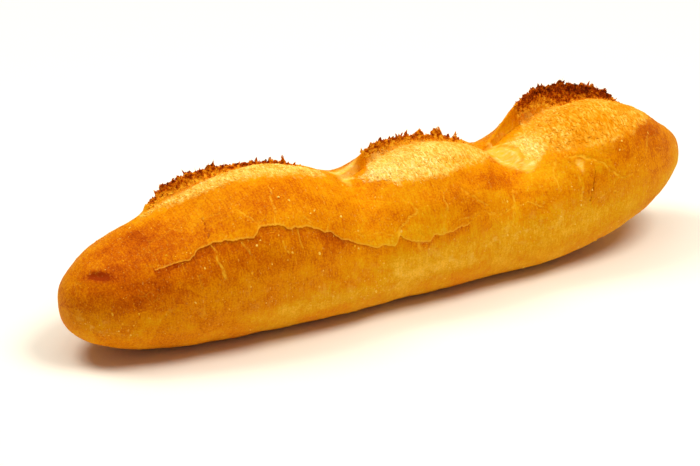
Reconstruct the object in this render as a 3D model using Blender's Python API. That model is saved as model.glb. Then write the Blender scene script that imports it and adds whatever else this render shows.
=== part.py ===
"""A half-length baguette with three slashes along its top, as one closed solid.

Metres, +Z up. X runs along the loaf, Y across it, and the sole lies on Z = 0. Each slash has torn open
towards -Y: its -Y lip is a low rim, and its +Y lip stands up as a ragged ear. Between two slashes the crust
dips into a saddle. Angles go round a cross-section from +Y (0) over the top (90) to -Y (180) and under the
sole (270).
"""

import bmesh
import bpy
import numpy as np

# Driving dimensions
LENGTH = 0.262
WIDTH = 0.057
TOP = 0.049
WIDEST_AT = 0.024
SOLE_DEPTH = 0.0022
LEFT_TIP_HEIGHT = 0.0225
RIGHT_TIP_HEIGHT = 0.0340
LEFT_BLUNTNESS = 4.2
RIGHT_BLUNTNESS = 4.6
TAPER = -0.05

# The shape of a cross-section: 1 is an ellipse, and less is squarer
SIDE_ROUNDNESS = 0.95
TOP_ROUNDNESS = 0.92
SOLE_ROUNDNESS = 0.75
LEFT_END_LIFT = 0.68
RIGHT_END_LIFT = 1.9

# The three risen lobes, then the hollows beside them: centre along X, half-length, rise
LOBES = (
    (-0.050, 0.046, 0.0092),
    (0.019, 0.035, 0.0066),
    (0.099, 0.046, 0.0142),
    (-0.106, 0.020, -0.0024),
    (-0.013, 0.013, -0.0026),
    (0.048, 0.011, -0.0024),
)
LOBE_ANGLE = 100.0
LOBE_SPREAD = 55.0

# The slashes: their ends along X, the angle of the middle line at each end, how far the two lips open from
# it, and the edge of the ear as (x, height) points, from where it rises to where it breaks off
SLASHES = (
    {"x": (-0.097, -0.014), "angle": (64.0, 92.0), "near": 13.0, "far": 12.0,
     "ear": ((-0.097, 0.0), (-0.092, 0.0016), (-0.088, 0.0044), (-0.084, 0.0067), (-0.078, 0.0074),
             (-0.073, 0.0070), (-0.066, 0.0056), (-0.060, 0.0048), (-0.054, 0.0034), (-0.048, 0.0024),
             (-0.036, 0.0014), (-0.022, 0.0))},
    {"x": (-0.022, 0.053), "angle": (94.0, 91.0), "near": 25.0, "far": 17.0,
     "ear": ((-0.021, 0.0), (-0.017, 0.0018), (-0.008, 0.0056), (-0.004, 0.0066), (0.0, 0.0064),
             (0.006, 0.0053), (0.012, 0.0039), (0.024, 0.0022), (0.041, 0.0))},
    {"x": (0.040, 0.123), "angle": (94.0, 96.0), "near": 30.0, "far": 28.0,
     "ear": ((0.044, 0.0), (0.050, 0.0030), (0.056, 0.0060), (0.062, 0.0094), (0.068, 0.0117),
             (0.077, 0.0120), (0.082, 0.0109), (0.092, 0.0077), (0.098, 0.0062), (0.105, 0.0038),
             (0.107, 0.0))},
)
LIP_BLUNTNESS = 0.65
EAR_FACE = 0.0020
EAR_FOOT = 0.0080
EAR_CLIFF = 0.62
EAR_BACK = 0.0080
EAR_RAGGEDNESS = 0.12
TOOTH_LENGTH = 0.0021
TOOTH_GROUP_LENGTH = 0.0056
GROOVE_DEPTH = 0.0014
GROOVE_WIDTH = 0.0050
CRUMB_RISE = 0.0016
RIM_HEIGHT = 0.0005
RIM_WIDTH = 0.0025
ARC_RADIUS = 0.028
LEAST_SLASH_WIDTH = 1e-6

# The mesh
STATIONS = 104
OUTLINE_SAMPLES = 2001
SOLE_COLUMNS = 3
BACK_COLUMNS = 13
CRUMB_COLUMNS = 10
FRONT_COLUMNS = 15
COLUMNS = 2 * SOLE_COLUMNS + BACK_COLUMNS + 1 + CRUMB_COLUMNS + FRONT_COLUMNS
CROWDING = 1.3
SOLE_EDGE_LIMIT = 0.95
HANDOVERS = ((-0.026, -0.012), (0.040, 0.054))
FACE_ANGLE = 4.5
LEAST_CRUMB_ANGLE = 9.0


def ease(value, low, high):
    """0 below low, 1 above high, and a smooth rise between them."""
    share = np.clip((value - low) / (high - low), 0.0, 1.0)
    return share * share * (3.0 - 2.0 * share)


def fullness(x):
    """How full the loaf is at x: 0 at the tips and 1 along the middle."""
    along = np.clip(2.0 * x / LENGTH, -1.0, 1.0)
    bluntness = np.where(along < 0.0, LEFT_BLUNTNESS, RIGHT_BLUNTNESS)
    return np.sqrt(1.0 - np.abs(along) ** bluntness)


def lobe_rise(x, angle):
    """How far the risen lobes push the crust out. They die away at the tips."""
    swell = sum(rise * np.cos(np.clip((x - centre) / reach, -1.0, 1.0) * np.pi / 2.0) ** 2
                for centre, reach, rise in LOBES)
    return swell * fullness(x) * np.exp(-(((angle - LOBE_ANGLE) / LOBE_SPREAD) ** 2))


def share_along(slash, x):
    """0 at the slash's start and 1 at its end."""
    start, end = slash["x"]
    return np.clip((x - start) / (end - start), 0.0, 1.0)


def lips(slash, x):
    """The angles of the slash's +Y lip, which carries the ear, and of its -Y lip."""
    share = share_along(slash, x)
    first, last = slash["angle"]
    middle = first + (last - first) * share
    gape = np.sin(np.pi * share) ** LIP_BLUNTNESS
    return middle - slash["far"] * gape, middle + slash["near"] * gape


def ear_height(slash, x):
    places, heights = np.array(slash["ear"]).T
    ragged = 1.0 - EAR_RAGGEDNESS * np.sin(x / TOOTH_LENGTH) * np.cos(x / TOOTH_GROUP_LENGTH)
    return np.interp(x, places, heights) * ragged


def slash_relief(slash, x, angle):
    """What the slash adds to the surface: an ear at one lip, whose face is a cliff with a sloping foot, a
    groove under it, risen crumb, and a rim at the other lip."""
    far_lip, near_lip = lips(slash, x)
    openness = np.sin(np.pi * share_along(slash, x)) ** LIP_BLUNTNESS
    from_ear = np.radians(angle - far_lip) * ARC_RADIUS
    from_rim = np.radians(angle - near_lip) * ARC_RADIUS
    width = np.maximum(np.radians(near_lip - far_lip) * ARC_RADIUS, LEAST_SLASH_WIDTH)
    inside = np.clip(from_ear / width, 0.0, 1.0)

    back = np.exp(np.minimum(from_ear, 0.0) / EAR_BACK)
    cliff = 1.0 - ease(from_ear, 0.0, EAR_FACE)
    foot = 1.0 - ease(from_ear, 0.0, EAR_FOOT)
    ear = ear_height(slash, x) * back * (EAR_CLIFF * cliff + (1.0 - EAR_CLIFF) * foot)
    past_groove = ease(from_ear, EAR_FACE, EAR_FACE + GROOVE_WIDTH)
    groove = -GROOVE_DEPTH * (1.0 - cliff) * (1.0 - past_groove)
    crumb = CRUMB_RISE * np.sin(np.pi * inside) ** 2
    rim = RIM_HEIGHT * np.exp(-((from_rim / RIM_WIDTH) ** 2))
    return ear + openness * (groove + crumb + rim)


def taper(x):
    return 1.0 + TAPER * 2.0 * x / LENGTH


def section_heights(x):
    """The heights of the top, the widest level and the rounded sole, before the sole is flattened."""
    full = fullness(x)
    tip = np.where(x < 0.0, LEFT_TIP_HEIGHT, RIGHT_TIP_HEIGHT)
    top = tip + (TOP * taper(x) - tip) * full
    widest = tip + (WIDEST_AT - tip) * full
    lift = np.where(x < 0.0, LEFT_END_LIFT, RIGHT_END_LIFT)
    sole = (tip + SOLE_DEPTH) * (1.0 - full**lift) - SOLE_DEPTH
    return top, widest, sole


def loaf_point(x, angle):
    """The point of the crust at x and at this angle round the cross-section."""
    top, widest, sole = section_heights(x)
    cosine, sine = np.cos(np.radians(angle)), np.sin(np.radians(angle))
    y = WIDTH / 2.0 * fullness(x) * taper(x) * np.sign(cosine) * np.abs(cosine) ** SIDE_ROUNDNESS
    above = widest + (top - widest) * np.abs(sine) ** TOP_ROUNDNESS
    below = widest - (widest - sole) * np.abs(sine) ** SOLE_ROUNDNESS
    z = np.where(sine > 0.0, above, below)

    out = lobe_rise(x, angle) + sum(slash_relief(slash, x, angle) for slash in SLASHES)
    return np.stack([x, y + out * cosine, np.maximum(z + out * sine, 0.0)], axis=-1)


def stations():
    """Positions along X, evenly spaced along the crust's outline, from tip to tip."""
    x = -LENGTH / 2.0 * np.cos(np.linspace(0.0, np.pi, OUTLINE_SAMPLES))
    half_width = WIDTH / 2.0 * fullness(x)
    steps = np.hypot(np.diff(x), np.diff(half_width))
    travelled = np.concatenate([[0.0], np.cumsum(steps)])
    return np.interp(np.linspace(0.0, travelled[-1], STATIONS + 1), travelled, x)


def chained(x, first, second, third):
    """One value along the whole loaf: each slash's in turn, blended where one hands over to the next."""
    for (low, high), following in zip(HANDOVERS, (second, third)):
        first = first + (following - first) * ease(x, low, high)
    return first


def sole_edge(x):
    """The angle at which the -Y side meets the flat sole. It stops short at the tips, which have no sole."""
    widest, sole = section_heights(x)[1:]
    level = np.clip(widest / (widest - sole), 0.0, SOLE_EDGE_LIMIT)
    return 180.0 + np.degrees(np.arcsin(level ** (1.0 / SOLE_ROUNDNESS)))


def columns(x):
    """The angles of a cross-section's points, from under the sole round to it again. They follow the lips,
    the foot of the ear's face and the edges of the sole."""
    pairs = [lips(slash, x) for slash in SLASHES]
    far_lip = chained(x, *(pair[0] for pair in pairs))
    foot = far_lip + FACE_ANGLE
    near_lip = max(chained(x, *(pair[1] for pair in pairs)), foot + LEAST_CRUMB_ANGLE)
    edge = sole_edge(x)
    return np.concatenate([
        np.linspace(-90.0, 180.0 - edge, SOLE_COLUMNS, endpoint=False),
        far_lip - (far_lip - 180.0 + edge) * (1.0 - shares(BACK_COLUMNS)) ** CROWDING,
        [far_lip],
        foot + (near_lip - foot) * shares(CRUMB_COLUMNS),
        near_lip + (edge - near_lip) * shares(FRONT_COLUMNS) ** CROWDING,
        np.linspace(edge, 270.0, SOLE_COLUMNS, endpoint=False),
    ])


def shares(count):
    return np.arange(count) / count


def shape_loaf():
    """A UV sphere whose rings become the loaf's cross-sections."""
    shape = bmesh.new()
    bmesh.ops.create_uvsphere(shape, u_segments=COLUMNS, v_segments=STATIONS, radius=1.0)
    rings = stations()
    turns = [columns(x) for x in rings]
    for vertex in shape.verts:
        ring = round(np.arccos(np.clip(-vertex.co.z, -1.0, 1.0)) / np.pi * STATIONS)
        column = round(np.arctan2(vertex.co.y, vertex.co.x) / (2.0 * np.pi) * COLUMNS) % COLUMNS
        vertex.co = loaf_point(rings[ring], turns[ring][column])
    bmesh.ops.recalc_face_normals(shape, faces=shape.faces)
    return shape


def centre(shape):
    """Moves the loaf so that its box is centred on X = Y = 0."""
    points = np.array([vertex.co for vertex in shape.verts])
    middle = (points.min(axis=0) + points.max(axis=0)) / 2.0
    bmesh.ops.translate(shape, verts=shape.verts, vec=(-middle[0], -middle[1], 0.0))


def crust_material():
    material = bpy.data.materials.new("golden_crust")
    material.use_nodes = True
    shader = material.node_tree.nodes["Principled BSDF"]
    shader.inputs["Base Color"].default_value = (0.75, 0.28, 0.03, 1.0)
    shader.inputs["Roughness"].default_value = 0.55
    shader.inputs["Metallic"].default_value = 0.0
    return material


def main():
    for obj in list(bpy.data.objects):
        bpy.data.objects.remove(obj)
    collection = bpy.data.collections.new("baguette")
    bpy.context.scene.collection.children.link(collection)

    shape = shape_loaf()
    centre(shape)
    mesh = bpy.data.meshes.new("loaf")
    shape.to_mesh(mesh)
    shape.free()
    mesh.shade_smooth()
    mesh.materials.append(crust_material())
    collection.objects.link(bpy.data.objects.new("loaf", mesh))


main()
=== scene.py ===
"""A half-length baguette: golden cracked crust, three torn slashes of pale crumb, and a dark ragged ear on each.

Metres, +Z up. X runs along the loaf, Y across it, and the sole lies on Z = 0. Each slash has torn open towards -Y.
Angles go round a cross-section from +Y (0) over the top (90) to -Y (180) and under the sole (270).
"""

import bmesh
import bpy
import numpy as np
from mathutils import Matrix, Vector, noise


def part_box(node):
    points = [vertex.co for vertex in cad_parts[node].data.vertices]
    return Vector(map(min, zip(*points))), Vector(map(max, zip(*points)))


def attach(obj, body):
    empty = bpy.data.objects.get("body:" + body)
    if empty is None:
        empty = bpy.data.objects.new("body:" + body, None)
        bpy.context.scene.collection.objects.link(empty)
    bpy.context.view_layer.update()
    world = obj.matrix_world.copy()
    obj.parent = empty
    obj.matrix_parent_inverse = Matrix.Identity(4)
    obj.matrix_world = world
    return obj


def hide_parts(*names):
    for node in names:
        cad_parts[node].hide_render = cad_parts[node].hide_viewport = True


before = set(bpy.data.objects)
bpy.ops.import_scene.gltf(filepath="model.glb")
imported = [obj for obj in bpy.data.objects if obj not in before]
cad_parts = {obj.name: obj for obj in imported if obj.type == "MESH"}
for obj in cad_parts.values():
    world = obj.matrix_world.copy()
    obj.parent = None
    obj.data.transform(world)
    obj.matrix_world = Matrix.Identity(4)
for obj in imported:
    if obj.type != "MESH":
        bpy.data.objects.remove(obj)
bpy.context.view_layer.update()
low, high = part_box("loaf")

MM = 0.001

# The loaf, as the frame's solid has it
LENGTH = high[0] - low[0]
MIDDLE_Y = (low[1] + high[1]) / 2.0
WIDTH = 57.0 * MM
TOP = 49.0 * MM
WIDEST_AT = 24.0 * MM
SOLE_DEPTH = 2.2 * MM
LEFT_TIP_HEIGHT = 22.5 * MM
RIGHT_TIP_HEIGHT = 34.0 * MM
LEFT_BLUNTNESS = 4.2
RIGHT_BLUNTNESS = 4.6
LEFT_END_LIFT = 0.68
RIGHT_END_LIFT = 1.9
TAPER = -0.05
SIDE_ROUNDNESS = 0.95
TOP_ROUNDNESS = 0.92
SOLE_ROUNDNESS = 0.75
ARC_RADIUS = 28.0 * MM

# The three risen lobes, then the hollows beside them: centre along X, half-length, rise
LOBES = ((-50.0 * MM, 46.0 * MM, 9.2 * MM), (19.0 * MM, 35.0 * MM, 6.6 * MM), (99.0 * MM, 46.0 * MM, 14.2 * MM),
         (-106.0 * MM, 20.0 * MM, -2.4 * MM), (-13.0 * MM, 13.0 * MM, -2.6 * MM), (48.0 * MM, 11.0 * MM, -2.4 * MM))
LOBE_ANGLE = 100.0
LOBE_SPREAD = 55.0

# The slashes: ends along X, angle of the middle line at each end, opening to either side of it, the ear's edge as
# (x in mm, height in mm), the stretch in mm over which that edge is torn, how far it leans for its height, how dark it
# is toasted, the share of its height that is dark as (x in mm, share), and the shards that stand on its crest: x,
# height and half-width in mm
SLASHES = (
    {"x": (-97.0 * MM, -14.0 * MM), "angle": (64.0, 92.0), "near": 13.0, "far": 12.0,
     "ear": ((-97, 0), (-92, 1.6), (-88, 4.4), (-84, 6.7), (-78, 7.4), (-73, 7.0), (-66, 5.6), (-60, 4.8), (-54, 3.4),
             (-48, 2.4), (-42, 2.0), (-36, 1.4), (-30, 0.8), (-22, 0)),
     "torn": (-91, -31), "lean": 0.16, "toast": 0.50, "dark": ((-91, 0.42), (-31, 0.44)),
     "shards": ((-90.5, 1.3, 0.9), (-82.5, 0.7, 1.0), (-71.5, 0.6, 1.4), (-63.0, 1.2, 1.8), (-47.5, 0.7, 1.2),
                (-40.5, 1.0, 1.0), (-36.0, 3.0, 0.9))},
    {"x": (-22.0 * MM, 53.0 * MM), "angle": (94.0, 91.0), "near": 25.0, "far": 17.0,
     "ear": ((-21, 0), (-17, 1.8), (-12, 3.8), (-8, 5.6), (-4, 6.6), (0, 6.4), (6, 5.3), (12, 3.9), (18, 2.9),
             (24, 2.2), (30, 1.5), (36, 0.8), (41, 0)),
     "torn": (-6, 37), "lean": 0.20, "toast": 0.38, "dark": ((-6, 0.32), (37, 0.50)),
     "shards": ((-1.0, 0.5, 1.2), (3.5, 0.7, 1.2), (9.5, 0.6, 1.6), (15.5, 2.2, 1.5), (21.3, 3.0, 1.8),
                (27.2, 3.6, 1.2), (29.3, 3.2, 0.9), (35.4, 1.6, 1.1))},
    {"x": (40.0 * MM, 123.0 * MM), "angle": (94.0, 96.0), "near": 30.0, "far": 28.0,
     "ear": ((44, 0), (50, 3.0), (56, 6.0), (62, 9.4), (68, 11.7), (77, 12.0), (82, 10.9), (87, 9.3), (92, 7.7),
             (98, 6.2), (103, 4.6), (105.5, 3.6), (107, 0)),
     "torn": (63, 107), "lean": 0.25, "toast": 0.64, "dark": ((63, 0.36), (78, 0.48), (86, 1.0), (107, 1.15)),
     "shards": ((69.7, 0.6, 1.1), (73.3, 0.8, 1.3), (77.9, 0.8, 1.2), (86.3, 2.4, 1.4), (90.5, 0.8, 1.0),
                (95.1, 1.2, 1.3), (99.2, 1.9, 1.1), (103.6, 2.0, 0.9))},
)
HANDOVERS = ((-26.0 * MM, -12.0 * MM), (40.0 * MM, 54.0 * MM))
LIP_BLUNTNESS = 0.65
EAR_FACE = 2.0 * MM
EAR_FOOT = 8.0 * MM
EAR_CLIFF = 0.62
EAR_BACK = 8.0 * MM
TOOTH_HEIGHT = 0.70 * MM
TOOTH_THICKNESS = 0.8 * MM
GROOVE_DEPTH = 1.4 * MM
GROOVE_WIDTH = 5.0 * MM
CRUMB_RISE = 1.6 * MM
RIM_HEIGHT = 0.5 * MM
RIM_WIDTH = 2.5 * MM
LEAST_SLASH_WIDTH = 0.001 * MM

# The ledge along the -Y side, where the upper crust laps over the lower: (x in mm, angle) from the left tip
LEDGE = ((-131, 141), (-99, 137), (-93, 136), (-87, 137), (-85, 133), (-83.5, 130), (-78, 129), (-63.5, 134),
         (-59.5, 128), (-54, 130), (-50.5, 133), (-41, 136), (-34, 141), (-31, 146), (-25, 152), (-14, 162.5),
         (-12, 161), (-7, 164), (-5, 157), (1, 164), (7, 166), (9, 162), (15, 162), (30, 156), (60, 156), (131, 150))
LEDGE_HEIGHT = 0.42 * MM

# Cracks in the crust: (x in mm, angle) along each, its depth in mm, and its tone from dark (-1) to pale (1)
CRACKS = (
    (((-5.5, 156), (-3, 147), (2.3, 141), (3.5, 138), (2.8, 133)), 0.32, 0.8),
    (((15.7, 134), (13, 161)), 0.25, 0.7),
    (((-33, 131), (-34.2, 141)), 0.18, 0.5),
    (((-42.5, 128), (-41, 133)), 0.18, 0.5),
    (((-50, 102), (-54, 129)), 0.2, 0.55),
    (((-65, 112), (-60, 128)), 0.2, 0.6),
    (((-23.7, 150), (-18, 149), (-11, 151), (-6, 157)), 0.2, 0.6),
    (((2.1, 163.5), (2.7, 172.5)), 0.15, 0.6),
    (((17.8, 171), (18.4, 181)), 0.15, 0.6),
    (((-78, 105), (-78, 129)), 0.28, -0.8),
    (((-78, 131), (-77.3, 145), (-75, 163)), 0.22, 0.7),
    (((-67.5, 134), (-66, 147)), 0.15, 0.5),
    (((-54, 140), (-52, 152)), 0.2, 0.9),
    (((-47, 135), (-46, 150)), 0.15, 0.5),
    (((7.8, 168), (8.8, 181)), 0.15, 0.5),
    (((71, 123), (77.5, 129), (82, 134), (87, 144), (91, 151), (97, 151.5)), 0.32, 0.8),
    (((108.5, 122), (104, 141)), 0.18, 0.5),
    (((111.5, 134), (117, 136)), 0.18, 0.5),
    (((74, 142), (73, 161), (78, 175)), 0.22, 0.7),
    (((80, 142), (77.7, 164)), 0.45, -0.9),
    (((88.5, 152), (82.5, 164)), 0.2, 0.6),
    (((46.5, 137), (46, 150), (44.6, 158), (42.8, 169), (47, 180)), 0.25, 0.7),
    (((66.6, 126), (65, 136), (63.8, 146)), 0.25, 0.8),
    (((51.5, 152), (55, 159), (58, 154)), 0.25, 0.7),
    (((23, 129), (25.5, 136), (32.5, 147)), 0.4, 0.5),
    (((15, 162), (18, 155), (30, 152), (38, 157), (51, 153)), 0.25, 0.6),
)
CRACK_WANDER = 0.9 * MM

# The crumb of each slash: the X range that it shows over, and the edge where it meets the -Y crust, (x in mm, angle)
CRUMB_EDGES = (
    ((-94, -24), ((-96, 70), (-86, 74), (-78, 80), (-72, 86), (-67, 90), (-61, 91), (-56, 93), (-47, 97), (-37, 98),
                  (-28, 97), (-22, 95))),
    ((-15, 45), ((-16, 90), (-12, 92), (-9, 99), (0, 115), (5, 117), (13, 120), (20, 120), (28, 116), (37, 112),
                 (44, 103))),
    ((54, 117), ((54, 84), (57, 96), (58.2, 116), (60, 123), (62.5, 119), (65.5, 114), (72, 120), (80, 124), (90, 127), (100, 122), (108, 115),
                 (114, 107), (118, 98))),
)
CRUMB_CLIMB = 6.0 * MM
ROOT_SKIN = 5.0 * MM
CRUMB_BUMP = 0.34 * MM

# Dents in the crust: x in mm, angle, half-lengths in mm and degrees, slant in degrees per mm, depth in mm, and how
# much darker the crust is coloured there
DENTS = (
    (-119.2, 120.5, 3.3, 6.5, 1.9, 1.1, 0.62),
    (-18.0, 97, 2.6, 13.0, -1.6, 1.0, 0.0),
    (49.5, 104, 3.2, 16.0, 1.5, 1.2, 0.0),
    (68.5, 72, 2.0, 3.5, 0.0, 1.4, 0.1),
    (-108, 150, 8.0, 7.0, 0.0, 0.35, 0.05),
    (77, 131, 4.0, 5.0, 0.0, 0.4, 0.0),
)

# Smooth pale skin stretched over the hollows between the lobes, and a small tear: how pale, how far in mm its edge
# fades, and its outline of (x in mm, angle)
MEMBRANES = (
    (1.0, 2.6, ((-21.5, 83), (-17, 92), (-15.2, 101), (-12.5, 94), (-9.5, 87), (-6, 81), (-7, 74), (-13, 74),
                 (-19, 78))),
    (0.75, 3.2, ((41, 94), (45, 87), (49, 81), (54, 88), (58.5, 98), (57, 107), (55.7, 114), (53, 121), (50, 114),
                 (46, 108))),
    (1.0, 1.8, ((58.5, 98), (62.5, 104), (65, 112), (62.5, 119), (56, 126), (52, 121), (55.7, 114), (57, 107))),
    (0.80, 1.2, ((73.5, 128), (78.5, 131.5), (75.5, 142))),
)
# Folds in that skin, and strings of crumb pulled up the third ear: (x in mm, angle) along each, its height in mm, and how pale it is
FOLDS = (
    (((-21, 84), (-17.5, 92), (-15.2, 101)), 0.30, 0.2),
    (((-15.2, 101), (-12, 91), (-9, 85)), 0.30, 0.1),
    (((50, 79), (56, 78.5), (62, 75.5)), 0.30, 0.2),
    (((49, 82), (54, 87), (58.5, 98)), 0.38, 0.7),
    (((58.5, 99), (57, 107), (55.7, 114), (52.5, 118)), 0.45, 0.9),
    (((58.5, 98), (62, 104), (65, 113)), 0.35, 0.8),
    (((45, 94), (49, 104), (53, 116)), 0.30, 0.7),
    (((53, 92), (55, 100), (54, 110)), 0.30, 0.8),
    (((60, 104), (60.5, 112), (57, 121)), 0.30, 0.8),
    (((71, 76), (73.5, 82)), 0.35, 0.9),
    (((77.5, 78), (80, 83)), 0.35, 0.9),
    (((63, 82), (66, 93)), 0.35, 0.8),
    (((-130.5, 168), (-129.8, 190), (-129.2, 212)), 0.30, 0.0),
)
FOLD_WIDTH = 0.50 * MM

# The mesh
STATIONS = 560
OUTLINE_SAMPLES = 4001
SOLE_COLUMNS = 6
BACK_COLUMNS = 40
FACE_COLUMNS = 17
CRUMB_COLUMNS = 34
UPPER_COLUMNS = 28
STEP_COLUMNS = 3
LOWER_COLUMNS = 34
CROWDING = 1.6
FACE_ANGLE = 4.1
STEP_ANGLE = 0.9
LEAST_CRUMB_ANGLE = 9.0
LEAST_UPPER_ANGLE = 12.0
SOLE_EDGE_LIMIT = 0.95


# ---------------------------------------------------------------- the loaf's shape


def ease(value, start, end):
    """0 below start, 1 above end, and a smooth rise between them."""
    share = np.clip((value - start) / (end - start), 0.0, 1.0)
    return share * share * (3.0 - 2.0 * share)


def ripple(points, size, shift=0.0):
    """Smooth noise between about -1 and 1, with bumps of this size. A size may differ along each axis."""
    places = (points / size + shift).reshape(-1, 3).tolist()
    return np.array([noise.noise(place) for place in places]).reshape(points.shape[:-1]) * 1.6


def fullness(x):
    """How full the loaf is at x: 0 at the tips and 1 along the middle."""
    along = np.clip(2.0 * x / LENGTH, -1.0, 1.0)
    bluntness = np.where(along < 0.0, LEFT_BLUNTNESS, RIGHT_BLUNTNESS)
    return np.sqrt(1.0 - np.abs(along) ** bluntness)


def taper(x):
    return 1.0 + TAPER * 2.0 * x / LENGTH


def section_heights(x):
    """The heights of the top, the widest level and the rounded sole, before the sole is flattened."""
    full = fullness(x)
    tip = np.where(x < 0.0, LEFT_TIP_HEIGHT, RIGHT_TIP_HEIGHT)
    lift = np.where(x < 0.0, LEFT_END_LIFT, RIGHT_END_LIFT)
    top = tip + (TOP * taper(x) - tip) * full
    widest = tip + (WIDEST_AT - tip) * full
    sole = (tip + SOLE_DEPTH) * (1.0 - full**lift) - SOLE_DEPTH
    return top, widest, sole


def lobe_rise(x, angle):
    swell = sum(rise * np.cos(np.clip((x - centre) / reach, -1.0, 1.0) * np.pi / 2.0) ** 2
                for centre, reach, rise in LOBES)
    return swell * fullness(x) * np.exp(-(((angle - LOBE_ANGLE) / LOBE_SPREAD) ** 2))


def share_along(slash, x):
    start, end = slash["x"]
    return np.clip((x - start) / (end - start), 0.0, 1.0)


def lips(slash, x):
    """The angles of the slash's +Y lip, which carries the ear, and of its -Y lip."""
    share = share_along(slash, x)
    first, last = slash["angle"]
    middle = first + (last - first) * share
    gape = np.sin(np.pi * share) ** LIP_BLUNTNESS
    return middle - slash["far"] * gape, middle + slash["near"] * gape


def torn_share(slash, x):
    """1 where the ear's edge is torn, and 0 where it is still smooth skin."""
    start, end = slash["torn"]
    return ease(x / MM, start, start + 3.5) * (1.0 - ease(x / MM, end - 2.5, end + 2.5))


def ear_height(slash, x):
    """The ear's height at each x, and how far its teeth and shards stand above it where it is torn."""
    places, heights = np.array(slash["ear"]).T
    line = np.stack([x, np.zeros_like(x), np.zeros_like(x)], axis=-1)
    height = MM * np.mean([np.interp(x / MM + shift, places, heights) for shift in (-1.4, -0.7, 0.0, 0.7, 1.4)], axis=0)
    ragged = 0.5 * ripple(line, 3.4 * MM) + 0.8 * ripple(line, 1.5 * MM, 5.0) + 0.5 * ripple(line, 0.8 * MM, 9.0)
    teeth = TOOTH_HEIGHT * ragged * torn_share(slash, x) * ease(height, 0.2 * MM, 2.4 * MM)
    for place, rise, half in slash["shards"]:
        teeth = teeth + rise * MM * np.clip(1.0 - np.abs(x / MM - place) / half, 0.0, 1.0)
    return height, teeth


def ear_face(from_ear):
    """The share of the ear's height left at each distance in front of its edge: a cliff, then a sloping foot."""
    return EAR_CLIFF * (1.0 - ease(from_ear, 0.0, EAR_FACE)) + (1.0 - EAR_CLIFF) * (1.0 - ease(from_ear, 0.0, EAR_FOOT))


def dark_share(slash, x):
    """The share of the ear's height that is toasted dark."""
    places, shares = np.array(slash["dark"]).T
    return np.interp(x / MM, places, shares)


def ear_frame(slash, x, angle):
    """Distances along the surface from the ear's edge and from the rim, and the slash's openness."""
    far_lip, near_lip = lips(slash, x)
    openness = np.sin(np.pi * share_along(slash, x)) ** LIP_BLUNTNESS
    from_ear = np.radians(angle - far_lip) * ARC_RADIUS
    from_rim = np.radians(angle - near_lip) * ARC_RADIUS
    return from_ear, from_rim, openness


def slash_relief(slash, x, height, teeth, angle):
    """How far the slash moves the loaf's surface outwards, and forwards round the section."""
    from_ear, from_rim, openness = ear_frame(slash, x, angle)
    width = np.maximum(from_ear - from_rim, LEAST_SLASH_WIDTH)
    inside = np.clip(from_ear / width, 0.0, 1.0)
    back = 0.45 * np.exp(np.minimum(from_ear, 0.0) / (0.4 * EAR_BACK)) + 0.55 * np.exp(
        np.minimum(from_ear, 0.0) / (1.2 * EAR_BACK))
    cliff = 1.0 - ease(from_ear, 0.0, EAR_FACE)
    closeness = back * ear_face(from_ear)
    thin = np.exp(np.minimum(from_ear, 0.0) / TOOTH_THICKNESS) * cliff
    past_groove = ease(from_ear, EAR_FACE, EAR_FACE + GROOVE_WIDTH)
    groove = -GROOVE_DEPTH * (1.0 - cliff) * (1.0 - past_groove)
    crumb = CRUMB_RISE * np.sin(np.pi * inside) ** 2
    rim = RIM_HEIGHT * np.exp(-((from_rim / RIM_WIDTH) ** 2))
    outwards = height * closeness + teeth * thin + openness * (groove + crumb + rim)
    forwards = slash["lean"] * height * closeness**3
    return outwards, forwards


def loaf_surface(x, angle):
    """The points of the loaf at x and at these angles round its cross-section, for arrays of the same shape."""
    top, widest, sole = section_heights(x)
    cosine, sine = np.cos(np.radians(angle)), np.sin(np.radians(angle))
    y = WIDTH / 2.0 * fullness(x) * taper(x) * np.sign(cosine) * np.abs(cosine) ** SIDE_ROUNDNESS
    above = widest + (top - widest) * np.abs(sine) ** TOP_ROUNDNESS
    below = widest - (widest - sole) * np.abs(sine) ** SOLE_ROUNDNESS
    z = np.where(sine > 0.0, above, below)

    outwards, forwards = lobe_rise(x, angle), 0.0
    for slash in SLASHES:
        height, teeth = (np.broadcast_to(line[:, None], x.shape) for line in ear_height(slash, x[:, 0]))
        out, forth = slash_relief(slash, x, height, teeth, angle)
        outwards = outwards + out
        forwards = forwards + forth
    return np.stack([x, y + outwards * cosine - forwards * sine, z + outwards * sine + forwards * cosine], axis=-1)


# ---------------------------------------------------------------- where the mesh's points go


def stations():
    """Positions along X from tip to tip, spaced along the crust's outline and closer along the torn ears."""
    x = -LENGTH / 2.0 * np.cos(np.linspace(0.0, np.pi, OUTLINE_SAMPLES))
    half_width = WIDTH / 2.0 * fullness(x)
    steps = np.hypot(np.diff(x), np.diff(half_width))
    middles = (x[1:] + x[:-1]) / 2.0
    closer = 1.0 + 0.6 * np.max([torn_share(slash, middles) for slash in SLASHES], axis=0)
    travelled = np.concatenate([[0.0], np.cumsum(steps * closer)])
    return np.interp(np.linspace(0.0, travelled[-1], STATIONS + 1), travelled, x)


def chained(x, first, second, third):
    """One value along the whole loaf: that of each slash in turn, blended where one slash hands over to the next."""
    for (start, end), following in zip(HANDOVERS, (second, third)):
        first = first + (following - first) * ease(x, start, end)
    return first


def ledge_angle(x):
    places, angles = np.array(LEDGE).T
    line = np.stack([x, np.zeros_like(x), np.zeros_like(x)], axis=-1)
    wander = 0.9 * ripple(line, 3.4 * MM, 41.0) + 0.7 * ripple(line, 1.3 * MM, 45.0)
    return np.interp(x / MM, places, angles) + wander


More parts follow.
